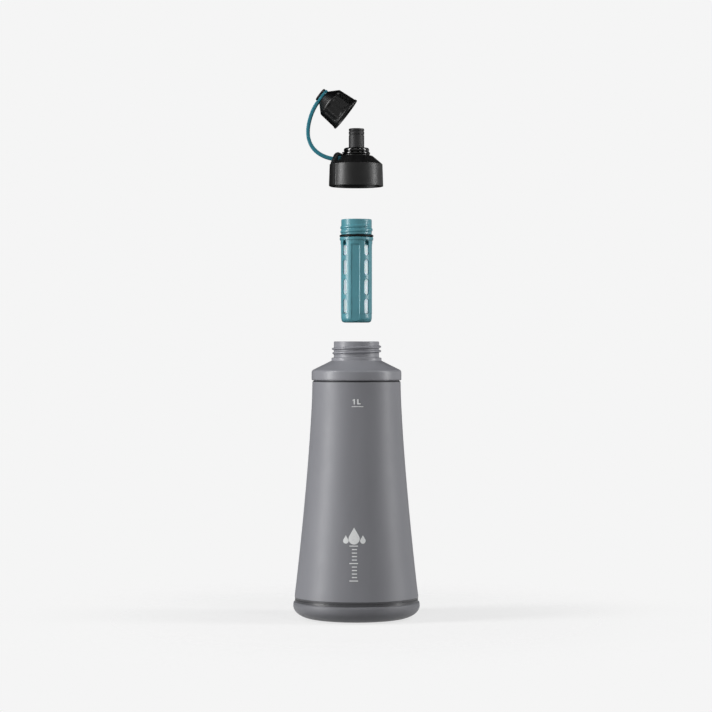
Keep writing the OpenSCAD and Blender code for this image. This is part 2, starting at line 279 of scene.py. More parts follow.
def thread(height, pitch, turns, z0, start_deg, tip=0.16, root=0.44):
    """A shift for turned(): a right-handed ridge of that height in mm, fading at both ends.
    tip and root are the ridge's half widths as shares of the pitch."""
    start = math.radians(start_deg)

    def shift(a, r, z):
        part = ((a - start) % (2 * math.pi)) / (2 * math.pi)
        best = 0.0
        for turn in range(int(turns) + 1):
            t = turn + part
            if t > turns:
                continue
            off = abs(z - z0 - pitch * t) / pitch
            fade = step_up(t, 0, 0.09) * step_up(turns - t, 0, 0.09)
            best = max(best, fade * (1 - step_up(off, tip, root)))
        return height * best

    return shift


def bezier(p, t):
    """The point at t of a cubic curve with the four control points p."""
    a, b, c, d = (np.array(q, float) for q in p)
    return (1 - t) ** 3 * a + 3 * t * (1 - t) ** 2 * b + 3 * t * t * (1 - t) * c + t**3 * d


def swept(name, path, section, sharp_deg=50):
    """A section of (along Y, across) points in mm swept along an XZ path in mm."""
    path = [np.array(p, float) for p in path]
    m = len(section)
    verts, faces = [], []
    for i, p in enumerate(path):
        d = path[min(i + 1, len(path) - 1)] - path[max(i - 1, 0)]
        u = d / np.linalg.norm(d)
        verts += [((p[0] - u[1] * s) * MM, y * MM, (p[1] + u[0] * s) * MM) for y, s in section]
    for i in range(len(path) - 1):
        for j in range(m):
            k = (j + 1) % m
            faces.append((i * m + j, i * m + k, (i + 1) * m + k, (i + 1) * m + j))
    faces += [tuple(range(m)), tuple(range((len(path) - 1) * m, len(path) * m))]
    return mesh_object(name, verts, faces, sharp_deg)


def rounded_box(name, corner, far_corner, radius, segments=3):
    """A box in mm between two opposite corners, with rounded edges."""
    bm = bmesh.new()
    bmesh.ops.create_cube(bm, size=1)
    size = [b - a for a, b in zip(corner, far_corner)]
    middle = [(b + a) / 2 for a, b in zip(corner, far_corner)]
    for v in bm.verts:
        v.co = Vector([(c * s + m) * MM for c, s, m in zip(v.co, size, middle)])
    bmesh.ops.bevel(bm, geom=list(bm.edges), offset=radius * MM, segments=segments,
                    affect="EDGES", profile=0.5)
    mesh = bpy.data.meshes.new(name)
    bm.to_mesh(mesh)
    bm.free()
    smooth(mesh, 60)
    return new_object(name, mesh)


# ---------------------------------------------------------------- materials


class Surface:
    """A node material about one Principled shader, with few words for its nodes."""

    def __init__(self, name, **constants):
        self.mat = bpy.data.materials.new(name)
        self.mat.use_nodes = True
        self.tree = self.mat.node_tree
        self.shader = self.tree.nodes["Principled BSDF"]
        for socket, value in constants.items():
            self.shader.inputs[socket.replace("_", " ")].default_value = value
        self.place = self.tree.nodes.new("ShaderNodeTexCoord").outputs["Object"]

    def link(self, source, target):
        self.tree.links.new(source, target)

    def stretched(self, scale):
        node = self.tree.nodes.new("ShaderNodeMapping")
        self.link(self.place, node.inputs["Vector"])
        node.inputs["Scale"].default_value = scale
        return node.outputs["Vector"]

    def noise(self, per_metre, detail=3.0, rough=0.5, stretch=(1, 1, 1)):
        node = self.tree.nodes.new("ShaderNodeTexNoise")
        node.inputs["Scale"].default_value = per_metre
        node.inputs["Detail"].default_value = detail
        node.inputs["Roughness"].default_value = rough
        self.link(self.stretched(stretch), node.inputs["Vector"])
        return node.outputs["Fac"]

    def ramp(self, value, stops):
        """Maps a value to colours, or greys where a stop is one number."""
        node = self.tree.nodes.new("ShaderNodeValToRGB")
        marks = node.color_ramp.elements
        while len(marks) < len(stops):
            marks.new(0.5)
        for mark, (at, colour) in zip(marks, stops):
            mark.position = at
            mark.color = (*(colour if hasattr(colour, "__len__") else (colour,) * 3), 1)
        self.link(value, node.inputs["Fac"])
        return node.outputs["Color"]

    def vary(self, value, lowest, highest, socket):
        """Sends a value that runs about 0.3 to 0.7 to a socket as lowest to highest."""
        node = self.tree.nodes.new("ShaderNodeMapRange")
        self.link(value, node.inputs["Value"])
        node.inputs["From Min"].default_value = 0.3
        node.inputs["From Max"].default_value = 0.7
        node.inputs["To Min"].default_value = lowest
        node.inputs["To Max"].default_value = highest
        self.link(node.outputs["Result"], self.shader.inputs[socket])

    def colour(self, value, *stops):
        self.link(self.ramp(value, stops), self.shader.inputs["Base Color"])

    def bumps(self, *layers):
        """Stacks bumps of (height value, depth in mm)."""
        normal = None
        for height, depth in layers:
            node = self.tree.nodes.new("ShaderNodeBump")
            node.inputs["Distance"].default_value = depth * MM
            node.inputs["Strength"].default_value = 1.0
            self.link(height, node.inputs["Height"])
            if normal:
                self.link(normal, node.inputs["Normal"])
            normal = node.outputs["Normal"]
        self.link(normal, self.shader.inputs["Normal"])


def shade(colour, factor):
    """The colour made lighter or darker."""
    return tuple(c * factor for c in colour)


def moulded(name, colour, roughness, spread, grain, cloud=60, **constants):
    """Injection-moulded plastic or rubber. spread is the share by which its colour varies
    in clouds, and grain the depth in mm of its spark-eroded grain."""
    s = Surface(name, **constants)
    clouds = s.noise(cloud, 4, 0.55)
    s.colour(clouds, (0.3, shade(colour, 1 - spread)), (0.7, shade(colour, 1 + spread)))
    s.vary(s.noise(cloud * 2.5, 3), roughness - 0.04, roughness + 0.04, "Roughness")
    s.bumps((s.noise(160, 2), grain * 3), (s.noise(3200, 2, 0.6), grain))
    return s.mat


def film(name, colour, roughness, **constants):
    """Soft blown plastic: faint vertical flow marks, a satin grain and slow waviness."""
    s = Surface(name, **constants)
    flow = s.noise(45, 5, 0.6, stretch=(1, 1, 0.22))
    s.colour(flow, (0.28, shade(colour, 0.94)), (0.5, colour), (0.74, shade(colour, 1.06)))
    s.vary(s.noise(130, 4), roughness - 0.035, roughness + 0.045, "Roughness")
    s.bumps((s.noise(24, 2, 0.4, stretch=(1, 1, 0.35)), 0.16), (s.noise(2600, 3, 0.65), 0.014))
    return s.mat


FLASK_GREY = (0.232, 0.234, 0.254)
TEAL = (0.096, 0.325, 0.385)
STRAP_TEAL = (0.020, 0.205, 0.270)
BLACK = (0.0010, 0.0010, 0.0012)


def make_materials():
    """Every material of the visual pieces and of the CAD nodes that stay in view."""
    return {
        "flask_film": film("flask_film", FLASK_GREY, 0.47, Specular_IOR_Level=0.5),
        # flask_base: the film's own grey made darker, painted shade that takes down the light on the
        # base's upward-tilted bulge
        "flask_base": film("flask_base", shade(FLASK_GREY, 0.78), 0.50),
        # A lighter copy of the film's grey: painted sheen for the bright band round the shoulder
        "flask_neck": film("flask_neck", shade(FLASK_GREY, 1.12), 0.36),
        # Dark gloss of the seams: the welded film is darker, and the shade of the seam's groove is
        # painted into it as well
        "flask_weld_and_seam_shade": film("flask_weld_and_seam_shade", shade(FLASK_GREY, 0.27), 0.36),
        "filter_plastic": moulded("filter_plastic", TEAL, 0.33, 0.08, 0.005,
                                  Transmission_Weight=0.16, IOR=1.5, Coat_Weight=0.15,
                                  Coat_Roughness=0.22),
        "cap_plastic": moulded("cap_plastic", BLACK, 0.42, 0.2, 0.005, Specular_IOR_Level=0.6),
        "cap_inner": moulded("cap_inner", shade(BLACK, 8), 0.5, 0.15, 0.014),
        "dust_cap_plastic": moulded("dust_cap_plastic", BLACK, 0.36, 0.2, 0.0015),
        "spout_soft": moulded("spout_soft", (0.013, 0.013, 0.0138), 0.56, 0.12, 0.006),
        "collar_gloss": moulded("collar_gloss", (0.001, 0.001, 0.001), 0.11, 0.2, 0.004,
                                Coat_Weight=0.5, Coat_Roughness=0.05),
        "seal_rubber": moulded("seal_rubber", (0.002, 0.002, 0.0022), 0.5, 0.2, 0.014,
                               Specular_IOR_Level=0.25),
        "tether_teal": moulded("tether_teal", STRAP_TEAL, 0.38, 0.1, 0.003, 90,
                               Subsurface_Weight=0.06, Subsurface_Scale=0.002),
        "potting_resin": potting(),
        "fibre_white": fibre(),
        "print_white": ink(),
    }


def potting():
    """Cast resin with the cut ends of the fibres showing as fine pale rings."""
    s = Surface("potting_resin", Roughness=0.3, Coat_Weight=0.2)
    cells = s.tree.nodes.new("ShaderNodeTexVoronoi")
    cells.inputs["Scale"].default_value = 1150
    s.link(s.stretched((1, 1, 0.02)), cells.inputs["Vector"])
    s.colour(cells.outputs["Distance"], (0.12, (0.30, 0.27, 0.20)), (0.2, (0.86, 0.84, 0.78)),
             (0.34, (0.82, 0.79, 0.70)), (0.5, (0.66, 0.60, 0.46)))
    s.bumps((cells.outputs["Distance"], 0.04), (s.noise(90, 3), 0.05))
    return s.mat


def fibre():
    """Porous white membrane fibre, with a faint painted glow: its emission stands in for the light
    that reaches the bundle through the slots.
    """
    s = Surface("fibre_white", Subsurface_Weight=0.15, Subsurface_Scale=0.001,
                Emission_Color=(0.9, 0.97, 1.0, 1), Emission_Strength=0.3)
    s.colour(s.noise(220, 4), (0.3, (0.84, 0.87, 0.88)), (0.7, (0.93, 0.95, 0.96)))
    s.vary(s.noise(500, 3), 0.58, 0.72, "Roughness")
    s.bumps((s.noise(4200, 2), 0.02))
    return s.mat


def ink():
    """Screen-printed ink, a little worn and uneven."""
    s = Surface("print_white")
    s.colour(s.noise(800, 4, 0.6), (0.25, (0.66, 0.67, 0.68)), (0.45, (0.86, 0.87, 0.87)))
    s.vary(s.noise(300, 3), 0.42, 0.54, "Roughness")
    s.bumps((s.noise(5200, 2), 0.006))
    return s.mat


MATERIALS = make_materials()


def finish_piece(obj, material, body, *replaced):
    """Gives a piece its material and body, and hides the CAD nodes that it stands for."""
    obj.data.materials.clear()
    obj.data.materials.append(MATERIALS[material])
    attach(obj, body)
    if replaced:
        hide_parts(*replaced)


# ---------------------------------------------------------------- flask


def low(node):
    """The low corner of a node's box, in mm."""
    return np.array(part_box(node)[0]) / MM


def high(node):
    """The high corner of a node's box, in mm."""
    return np.array(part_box(node)[1]) / MM


def reach(node, z, within):
    """The largest radius about Z, in mm, of a node's points near a height in mm."""
    co = np.array([v.co for v in frame["nodes"][node].data.vertices]) / MM
    near = co[abs(co[:, 2] - z) < within]
    return float(np.hypot(near[:, 0], near[:, 1]).max())


SEAM_HALF = 0.2  # half the groove between two flask pieces
WELD = 5.0  # depth of the lips inside the seams
WELD_LOW, WELD_TOP = 13.3, 17.0  # the band where the base is welded on, painted dark: partly the weld's own colour, partly the seam groove's painted shade
WALL = 1.0
SEAT_GAP = 0.05  # between two pieces that seat on each other
BASE_R = high("flask_base")[0]
SEAM_Z = low("flask_body")[2] - SEAM_HALF
SHOULDER_Z = high("flask_body")[2] + SEAM_HALF
SEAM_R = reach("flask_body", SEAM_Z, 1)
TOP_R = reach("flask_body", SHOULDER_Z, 1)
SHOULDER_R = reach("flask_shoulder", SHOULDER_Z + 1, 1)
NECK_TOP = high("flask_shoulder")[2]
NECK_R = reach("flask_shoulder", NECK_TOP - 0.6, 0.1)
MOUTH_R = 16.6  # inside of the neck
COLLAR_Z = NECK_TOP - 15.4  # foot of the neck
COLLAR_R = 20.0
CAP_PITCH = 3.5  # of the thread between neck and cap
NECK_THREAD_Z = NECK_TOP - 9.55  # where the neck's thread starts
CAP_THREAD_DEG = 165
EDGE_Z = 10.0  # widest place of the base
EDGE_RUN = 16.0  # how far the standing edge rolls inwards
FLARE = 1.4  # exponent of the wall's flare, 1 is a plain cone
SEAM_IN = 0.45  # how far the groove of the lower seam goes in


def darken(obj, low_z, high_z, from_r=0.0, to_r=1e9):
    """Gives the faces between two heights and two radii, in mm, a dark gloss: partly the weld's own
    darker film, partly painted shade of the seam's groove.
    """
    obj.data.materials.append(MATERIALS["flask_weld_and_seam_shade"])
    for face in obj.data.polygons:
        x, y, z = face.center / MM
        if low_z < z < high_z and from_r < math.hypot(x, y) < to_r:
            face.material_index = 1


def wall_r(z):
    """The wall's radius at a height, both in mm."""
    t = (z - SEAM_Z) / (SHOULDER_Z - SEAM_Z)
    return TOP_R + (SEAM_R - TOP_R) * max(0.0, 1 - t) ** FLARE


def make_flask_wall():
    """The soft wall, with the slow waviness of a thin blown film."""
    z0, z1, bands = SEAM_Z + SEAM_HALF, SHOULDER_Z - SEAM_HALF, 60
    heights = [z0 + (z1 - z0) * i / bands for i in range(bands + 1)]
    tuck, tuck_in = 1.0, 0.8  # the film turns in to the upper seam
    outer = [(SEAM_R - SEAM_IN, z0, 0.1), (SEAM_R - SEAM_IN, WELD_TOP, 0.1),
             (wall_r(WELD_TOP), WELD_TOP + 0.3, 0.25)]
    outer += [(wall_r(z), z) for z in heights if WELD_TOP + 1 < z < z1 - tuck]
    outer += [(wall_r(z1), z1 - tuck, 0.3), (wall_r(z1) - tuck_in, z1 - 0.25, 0.1)]
    inner = [(wall_r(z) - WALL, z) for z in reversed(heights)]

    def waviness(a, r, z):
        run_out = 14  # the waves fade towards both seams
        ends = step_up(z, z0, z0 + run_out) * step_up(z1 - z, 0, run_out)
        wave = math.sin(3 * a + z / 41) * 0.5 + math.sin(5 * a - z / 29 + 1.3) * 0.3
        return -0.12 * ends * (1 + wave)

    obj = turned("flask_wall", rounded(outer + inner), waviness)
    finish_piece(obj, "flask_film", "flask", "flask_body")
    # The bands at both seams get the dark weld colour with the groove's shade painted in
    darken(obj, z0, WELD_TOP + 0.05)
    darken(obj, z1 - 0.6, z1 + 0.1)


def make_flask_foot():
    """The base: a rounded standing edge and a shallow dome with a moulding gate."""
    lip_z = SEAM_Z + WELD
    outer = [(SEAM_R - SEAM_IN, SEAM_Z - SEAM_HALF, 0.1), (SEAM_R - 0.4, WELD_LOW, 0.3),
             (SEAM_R + 0.5, WELD_LOW - 0.5, 0.5), (BASE_R - 0.05, EDGE_Z + 1.4, 0.8)]
    outer += ellipse(BASE_R - EDGE_RUN, EDGE_Z, EDGE_RUN, EDGE_Z, 0, -90, 18)
    outer += [(31.0, 0, 0.8), (29.0, 1.2, 1.2), (14.0, 1.45), (13.6, 1.75, 0.2), (12.9, 1.75, 0.2),
              (12.5, 1.47), (2.6, 1.58), (2.2, 1.0, 0.3), (0, 1.0)]
    inner = [(0, 3.6), (30, 3.2, 3.0)]
    inner += ellipse(BASE_R - EDGE_RUN, EDGE_Z, EDGE_RUN - 1.8, EDGE_Z - 1.8, -90, 0, 12)
    inner += [(BASE_R - 2.2, EDGE_Z + 1.4), (wall_r(SEAM_Z) - 2.3, SEAM_Z),
              (wall_r(lip_z) - 2.2, lip_z, 0.3), (wall_r(lip_z) - WALL - SEAT_GAP, lip_z, 0.3),
              (SEAM_R - WALL - SEAT_GAP, SEAM_Z - SEAM_HALF)]
    obj = turned("flask_foot", rounded(outer + inner))
    finish_piece(obj, "flask_base", "flask", "flask_base")
    darken(obj, WELD_LOW, SEAM_Z + WELD, SEAM_R - 2)


def make_flask_top():
    """Shoulder, cone and threaded neck."""
    z0 = SHOULDER_Z + SEAM_HALF
    lip_r = TOP_R - WALL - SEAT_GAP
    ring_top = COLLAR_Z + 2.5
    cone_z = COLLAR_Z - 0.6  # top of the cone
    band_top = z0 + 7.8
    lip_t = 1.4
    outline = [(lip_r, z0 - WELD), (lip_r, z0), (SHOULDER_R - 0.6, z0, 0.1),
               (SHOULDER_R, z0 + 0.7, 0.3), (SHOULDER_R, band_top, 2.6),
               (COLLAR_R + 1.4, cone_z, 0.8), (COLLAR_R, COLLAR_Z + 0.1, 0.4),
               (COLLAR_R, ring_top - 0.1, 0.6), (NECK_R, ring_top + 0.1, 0.5),
               (NECK_R, NECK_TOP, 0.6), (MOUTH_R, NECK_TOP, 0.5), (MOUTH_R, cone_z, 1.5),
               (SHOULDER_R - 2.9, band_top - 1.6, 1.5), (lip_r - lip_t, z0, 0.8),
               (lip_r - lip_t, z0 - WELD, 0.3)]
    ridge = thread(1.6, CAP_PITCH, 1.65, NECK_THREAD_Z, CAP_THREAD_DEG, 0.12, 0.36)

    def shift(a, r, z):
        return ridge(a, r, z) if NECK_R - 0.1 < r < NECK_R + 0.1 else 0

    obj = turned("flask_top", dense(rounded(outline), 0.2, ring_top + 1, NECK_TOP - 0.7), shift)
    finish_piece(obj, "flask_neck", "flask", "flask_shoulder")
    darken(obj, z0 - WELD, z0 + 0.05, lip_r - 0.2)


def on_wall(name, outline, thick=0.06, step=0.5):
    """A thin print on the front of the wall: an outline of (x, z) in mm, wrapped round it."""
    bm = bmesh.new()
    bm.faces.new([bm.verts.new((x, 0, z)) for x, z in outline])
    xs, zs = [p[0] for p in outline], [p[1] for p in outline]
    for axis, values in (((1, 0, 0), xs), ((0, 0, 1), zs)):
        at = min(values) + step
        while at < max(values) - 0.05:
            geom = list(bm.verts) + list(bm.edges) + list(bm.faces)
            point = tuple(at * c for c in axis)
            bmesh.ops.bisect_plane(bm, geom=geom, plane_co=point, plane_no=axis)
            at += step
    sunk = 0.3  # how deep the print's back lies in the wall
    back = bmesh.ops.duplicate(bm, geom=list(bm.faces))
    lifted = {v for v in back["geom"] if isinstance(v, bmesh.types.BMVert)}
    for v in bm.verts:
        r = wall_r(v.co.z) + (thick if v in lifted else -sunk)
        angle = v.co.x / r
        v.co = Vector((math.sin(angle) * r, -math.cos(angle) * r, v.co.z)) * MM
    rim = [e for e in bm.edges if e.is_boundary]
    bmesh.ops.bridge_loops(bm, edges=rim)
    bmesh.ops.recalc_face_normals(bm, faces=bm.faces)
    mesh = bpy.data.meshes.new(name)
    bm.to_mesh(mesh)
    bm.free()
    return new_object(name, mesh)


def bar(x, z, width, height):
    """The outline of an upright rectangle from its lower left corner."""
    return [(x, z), (x + width, z), (x + width, z + height), (x, z + height)]


def make_prints():
    """Plain marks: the capacity over a line, three water drops and a column of ticks."""
    one = [(-2.2, 171.2), (-1.2, 171.2), (-1.2, 175.4), (-2.0, 175.4), (-3.0, 174.7),
           (-3.0, 173.9), (-2.2, 174.3)]
    el = [(0.6, 171.2), (3.3, 171.2), (3.3, 172.0), (1.6, 172.0), (1.6, 175.4), (0.6, 175.4)]
    level = bar(-3.8, 169.2, 9.2, 0.5)
    capacity = [on_wall("mark", outline) for outline in (one, el, level)]

    drops = []
    for cx, cz, size in ((-1.9, 66.4, 4.4), (5.0, 64.8, 2.2), (-8.4, 64.8, 2.2)):
        round_part = ellipse(cx, cz, size, size, -208, 28, 28)
        drops.append(on_wall("drop", round_part + [(cx, cz + size * 2.0)]))
    ticks = []
    first_tick, tick_step = 33.4, 2.7
    for i in range(11):
        x, width = (-5.6, 6.8) if i % 5 == 0 else (-3.6, 4.0)
        ticks.append(on_wall("tick", bar(x, first_tick + tick_step * i, width, 0.8)))
    groups = {"capacity_mark": capacity, "drop_marks": drops, "level_ticks": ticks}
    for name, marks in groups.items():
        finish_piece(join(name, *marks), "print_white", "flask")


make_flask_wall()
make_flask_foot()
make_flask_top()
make_prints()


# ---------------------------------------------------------------- filter cartridge

FILTER_Z = low("filter_foot")[2]
CAGE_Z = low("filter_cage")[2]
HEAD_Z = high("filter_cage")[2]  # underside of the flange
FILTER_TOP = high("filter_head")[2]
CAGE_R = reach("filter_cage", CAGE_Z + 1, 2)
RING_Z = (low("filter_o_ring")[2] + high("filter_o_ring")[2]) / 2
GROOVE_W = 6.8
GROOVE_FLOOR = 11.8  # distance from the axis to the groove's floor
GROOVE_TURN = math.radians(-4)  # bearing of the first groove
CAGE_WALL = 1.4
CAGE_IN_R = CAGE_R - CAGE_WALL
SLOT_W, SLOT_L = 4.6, 12.6
SLOT_PITCH = 15.6
FIRST_SLOT = 5.6  # the lowest slot's height over the cage's end
FILTER_PITCH = 3.4


def groove(a):
    """How far round from the middle of the nearest of the four grooves, in radians."""
    quarter = math.pi / 2
    return abs((a - GROOVE_TURN + quarter / 2) % quarter - quarter / 2)


def grooved(radius, width, floor, z_end):
    """A shift that flattens a round wall of that radius to a floor, within a groove's width."""

    def shift(a, r, z):
        side = abs(radius * math.sin(groove(a)))
        share = (1 - step_up(side, width / 2 - 0.25, width / 2 + 0.25)) * step_up(z_end - z, 0, 0.8)
        return (floor / math.cos(groove(a)) - r) * share

    return shift


def slot_tool(turn, z):
    """A round-ended cutter through the cage's wall."""
    end_r = SLOT_W / 2
    straight = SLOT_L / 2 - end_r
    outline = []
    for a in (math.pi * (i + 0.5) / 12 for i in range(24)):
        middle = straight if a < math.pi else -straight
        outline.append((end_r * math.cos(a), end_r * math.sin(a) + middle))
    near, far = 9.2, 14.0  # radii that the cutter runs between
    verts = [(x, y, z + h) for x in (near, far) for y, h in outline]
    n = len(outline)
    faces = [(i, (i + 1) % n, n + (i + 1) % n, n + i) for i in range(n)]
    faces += [tuple(range(n)), tuple(range(n, 2 * n))]
    tool = mesh_object("slot_tool", [[c * MM for c in v] for v in verts], faces)
    tool.data.transform(Matrix.Rotation(turn, 4, "Z"))
    return tool


def make_cage():
    """The cage, with four grooves and four slots between each two of them."""
    outer_wall = grooved(CAGE_R, GROOVE_W, GROOVE_FLOOR, HEAD_Z - 3)
    inner_wall = grooved(CAGE_IN_R, GROOVE_W + 1.6, GROOVE_FLOOR - 1.3, HEAD_Z + 9)

    def shift(a, r, z):
        return outer_wall(a, r, z) if r > CAGE_R - 0.7 else inner_wall(a, r, z)

    outline = rounded([(CAGE_IN_R, CAGE_Z), (CAGE_R, CAGE_Z), (CAGE_R, HEAD_Z),
                       (CAGE_IN_R, HEAD_Z)])
    cage = turned("filter_cage_piece", dense(outline, 0.8, CAGE_Z, HEAD_Z), shift, steps=320)
    tools = []
    for side in range(4):
        bearing = GROOVE_TURN + math.pi / 4 + math.pi / 2 * side
        for row in range(4):
            tools.append(slot_tool(bearing, CAGE_Z + FIRST_SLOT + SLOT_PITCH * row))
    cut(cage, join("slots", *tools), sharp_deg=35)
    finish_piece(cage, "filter_plastic", "cartridge", "filter_cage")


def make_foot():
    """The closed lower end, with a notch under each groove."""
    outline = rounded([(10.5, CAGE_Z), (CAGE_R - 0.1, CAGE_Z, 0.2)]
                      + ellipse(9.7, FILTER_Z + 4, 2.9, 4, 0, -90, 10)
                      + [(6.2, FILTER_Z, 0.5), (5.2, FILTER_Z + 1.2, 0.4), (5.2, FILTER_Z + 2.2, 0.3),
                         (7.4, FILTER_Z + 2.35, 0.3)]
                      + ellipse(8.0, FILTER_Z + 4.8, 2.5, 2.4, -90, 0, 6))
    flat = grooved(CAGE_R, GROOVE_W, GROOVE_FLOOR, HEAD_Z)

    def shift(a, r, z):
        return min(0.0, flat(a, r, z)) if r > GROOVE_FLOOR - 0.2 else 0

    foot = turned("filter_foot_piece", dense(outline, 0.5), shift)
    notches = []
    notch_r, notch_l = 3.0 * MM, 8 * MM
    for k in range(4):
        bm = bmesh.new()
        bmesh.ops.create_cone(bm, cap_ends=True, segments=48, radius1=notch_r, radius2=notch_r,
                              depth=notch_l)
        mesh = bpy.data.meshes.new("notch")
        bm.to_mesh(mesh)
        bm.free()
        notch = new_object("notch", mesh)
        lie_down = Matrix.Rotation(math.pi / 2, 4, "Y")
        move = Matrix.Translation(Vector((10.5, 0, FILTER_Z - 2.1)) * MM)
        mesh.transform(Matrix.Rotation(GROOVE_TURN + math.pi / 2 * k, 4, "Z") @ move @ lie_down)
        notches.append(notch)
    cut(foot, join("notches", *notches), sharp_deg=35)
    finish_piece(foot, "filter_plastic", "cartridge", "filter_foot")


def make_head():
    """The flange, the O-ring's seat and the thread that screws into the cap."""
    bore, core, flange, neck = 9.8, 12.2, 13.4, 11.6
    spigot = 10.45  # what goes into the cage
    flange_top = HEAD_Z + 2.5
    top = FILTER_TOP
    outline = [(bore, HEAD_Z - 4), (spigot, HEAD_Z - 4), (spigot, HEAD_Z), (flange, HEAD_Z, 0.5),
               (flange, flange_top, 0.5), (neck, flange_top, 0.3), (neck, RING_Z + 1.15, 0.3),
               (core, RING_Z + 1.2), (core, top, 0.6), (bore + 0.9, top, 0.3),
               (bore, top - 1.0, 0.4)]
    ridge = thread(0.7, FILTER_PITCH, 1.6, RING_Z + 2.6, 120, 0.18, 0.42)

    def shift(a, r, z):
        return ridge(a, r, z) if core - 0.1 < r < core + 0.1 else 0

    obj = turned("filter_head_piece", dense(rounded(outline), 0.2, RING_Z + 1.5, top - 0.7), shift)
    finish_piece(obj, "filter_plastic", "cartridge", "filter_head")


def make_o_ring():
    obj = turned("o_ring", ellipse(12.7, RING_Z, 0.9, 0.9, 0, 345, 23))
    finish_piece(obj, "seal_rubber", "filter_seal", "filter_o_ring")


def fibre_path(x, y, gap, bottom, top, draw):
    """A strand that comes down at x, turns and goes back up at x + gap."""
    sway = [draw.uniform(-0.16, 0.16) for _ in range(4)]
    points = []
    rise = np.linspace(0, 1, 12)

    def leg(t, at, sway_x, sway_y):
        dx = sway_x * math.sin(3 * t) * (1 - t)
        dy = sway_y * math.sin(4 * t) * (1 - t)
        points.append((at + dx, y + dy, bottom + (top - bottom) * t))

    for t in rise[::-1]:
        leg(t, x, sway[0], sway[1])
    for k in range(1, 6):
        a = math.pi * k / 6
        points.append((x + gap / 2 - gap / 2 * math.cos(a), y, bottom - gap / 2 * math.sin(a)))
    for t in rise:
        leg(t, x + gap, sway[2], sway[3])
    return points


def tube_along(points, radius, sides=6):
    """Vertices and faces of a closed tube round points, all in mm."""
    points = np.array(points)
    verts, faces = [], []
    across = np.array([0.0, 1.0, 0.0])
    for i, p in enumerate(points):
        d = points[min(i + 1, len(points) - 1)] - points[max(i - 1, 0)]
        d /= np.linalg.norm(d)
        u = across - d * (across @ d)
        u /= np.linalg.norm(u)
        v = np.cross(d, u)
        for k in range(sides):
            a = 2 * math.pi * k / sides
            verts.append((p + radius * (u * math.cos(a) + v * math.sin(a))) * MM)
    for i in range(len(points) - 1):
        for k in range(sides):
            n = (k + 1) % sides
            faces.append((i * sides + k, i * sides + n, (i + 1) * sides + n, (i + 1) * sides + k))
    last = (len(points) - 1) * sides
    faces += [tuple(range(sides)), tuple(range(last, last + sides))]
    return verts, faces


def make_fibres():
    """The bundle of hollow fibres, each bent double under the resin."""
    draw = random.Random(7)
    bundle_r, gap, row_gap, strand = 10.2, 0.92, 0.86, 0.37
    top, bottom = low("potting_plug")[2] - 0.02, low("hollow_fibres")[2] + 2.0
    verts, faces = [], []
    for row in range(-10, 11):
        y = row * row_gap
        half = math.sqrt(max(0, bundle_r**2 - y * y))
        pairs = int(2 * half / (2 * gap))
        for i in range(pairs):
            x = (i - pairs / 2) * 2 * gap + gap / 2
            path = fibre_path(x, y, gap, bottom + draw.uniform(-0.6, 1.6), top, draw)
            v, f = tube_along(path, strand)
            faces += [tuple(len(verts) + n for n in face) for face in f]
            verts += v
    obj = mesh_object("fibre_bundle", verts, faces, 60)
    finish_piece(obj, "fibre_white", "cartridge", "hollow_fibres")


make_cage()
make_foot()
make_head()
make_o_ring()
make_fibres()


# ---------------------------------------------------------------- screw cap

CAP_Z = low("cap_shell")[2]
SKIRT_R = 21.4
SKIRT_TOP_R = 20.8
SKIRT_IN_R = 20.2
SOCKET_R, SOCKET_OUT_R = 13.15, 15.45  # seat of the cartridge's socket
STUB_R = 10.0  # seat of the spout and its collar
BORE_R = 3.2  # water way through the spout
PANEL_HALF = math.radians(38)  # half-angle of the panel under the tether
PANEL_T = 0.7
HOOD_HALF = math.radians(26)
# Heights above the skirt's edge
ROOF_Z = 13.7
SOCKET_Z = 14.5
CHAMBER_Z = 17.4
SKIRT_H = 17.75
PANEL_TOP = 18.1
ANCHOR_Z = 21.8
CONE_Z = 24.5
STUB_Z = 25.2
STRAP_W, STRAP_T = 5.0, 3.0
SPOUT_R = (high("mouthpiece")[0] - low("mouthpiece")[0]) / 2 - 1.8
SPOUT_TOP = high("mouthpiece")[2]


def make_cap_shell():
    """Skirt, cone and hood in one piece, hollow over the cartridge."""
    outline = [(SKIRT_IN_R + 0.4, 0, 0.25), (SKIRT_R, 0, 0.35), (SKIRT_TOP_R, SKIRT_H, 0.55),
               (13.0, CONE_Z - 0.2, 0.5), (12.4, CONE_Z, 0.2), (STUB_R, CONE_Z, 0.15),
               (STUB_R, STUB_Z, 0.2), (BORE_R, STUB_Z, 0.2), (BORE_R, CHAMBER_Z + 3, 0.8),
               (11.8, CHAMBER_Z, 0.8), (SOCKET_R, CHAMBER_Z, 0.3), (SOCKET_R, SOCKET_Z, 0.2),
               (SOCKET_OUT_R, SOCKET_Z, 0.2), (SOCKET_OUT_R, ROOF_Z, 0.1),
               (SKIRT_IN_R, ROOF_Z, 0.4), (SKIRT_IN_R, 1.0, 0.3)]
    inner_thread = thread(1.2, CAP_PITCH, 1.6, CAP_Z + 4.4, CAP_THREAD_DEG)

    def shift(a, r, z):
        h = z - CAP_Z
        if abs(r - SKIRT_IN_R) < 0.1 and h < ROOF_Z - 0.3:
            return -inner_thread(a, r, z)
        side = PANEL_HALF - abs(a - math.pi)
        if r > SKIRT_TOP_R - 0.5 and h < PANEL_TOP:
            edge = step_up(side, -math.radians(0.4), math.radians(1.9))
            return PANEL_T * edge * step_up(h, 0.1, 0.7) * step_up(18.0 - h, 0, 0.5)
        return 0

    shell = turned("cap_body", dense(rounded(up(outline, CAP_Z)), 0.28, CAP_Z, CAP_Z + 18), shift,
                   steps=288)
    pocket = rounded_box("pocket", (-18.2, -10.5, CAP_Z + 18.8), (-12.2, 10.5, CAP_Z + 30), 0.6)
    cut(shell, pocket)
    hood = make_hood()
    cut(shell, hood, operation="UNION", sharp_deg=35)
    finish_piece(shell, "cap_plastic", "cap", "cap_shell")


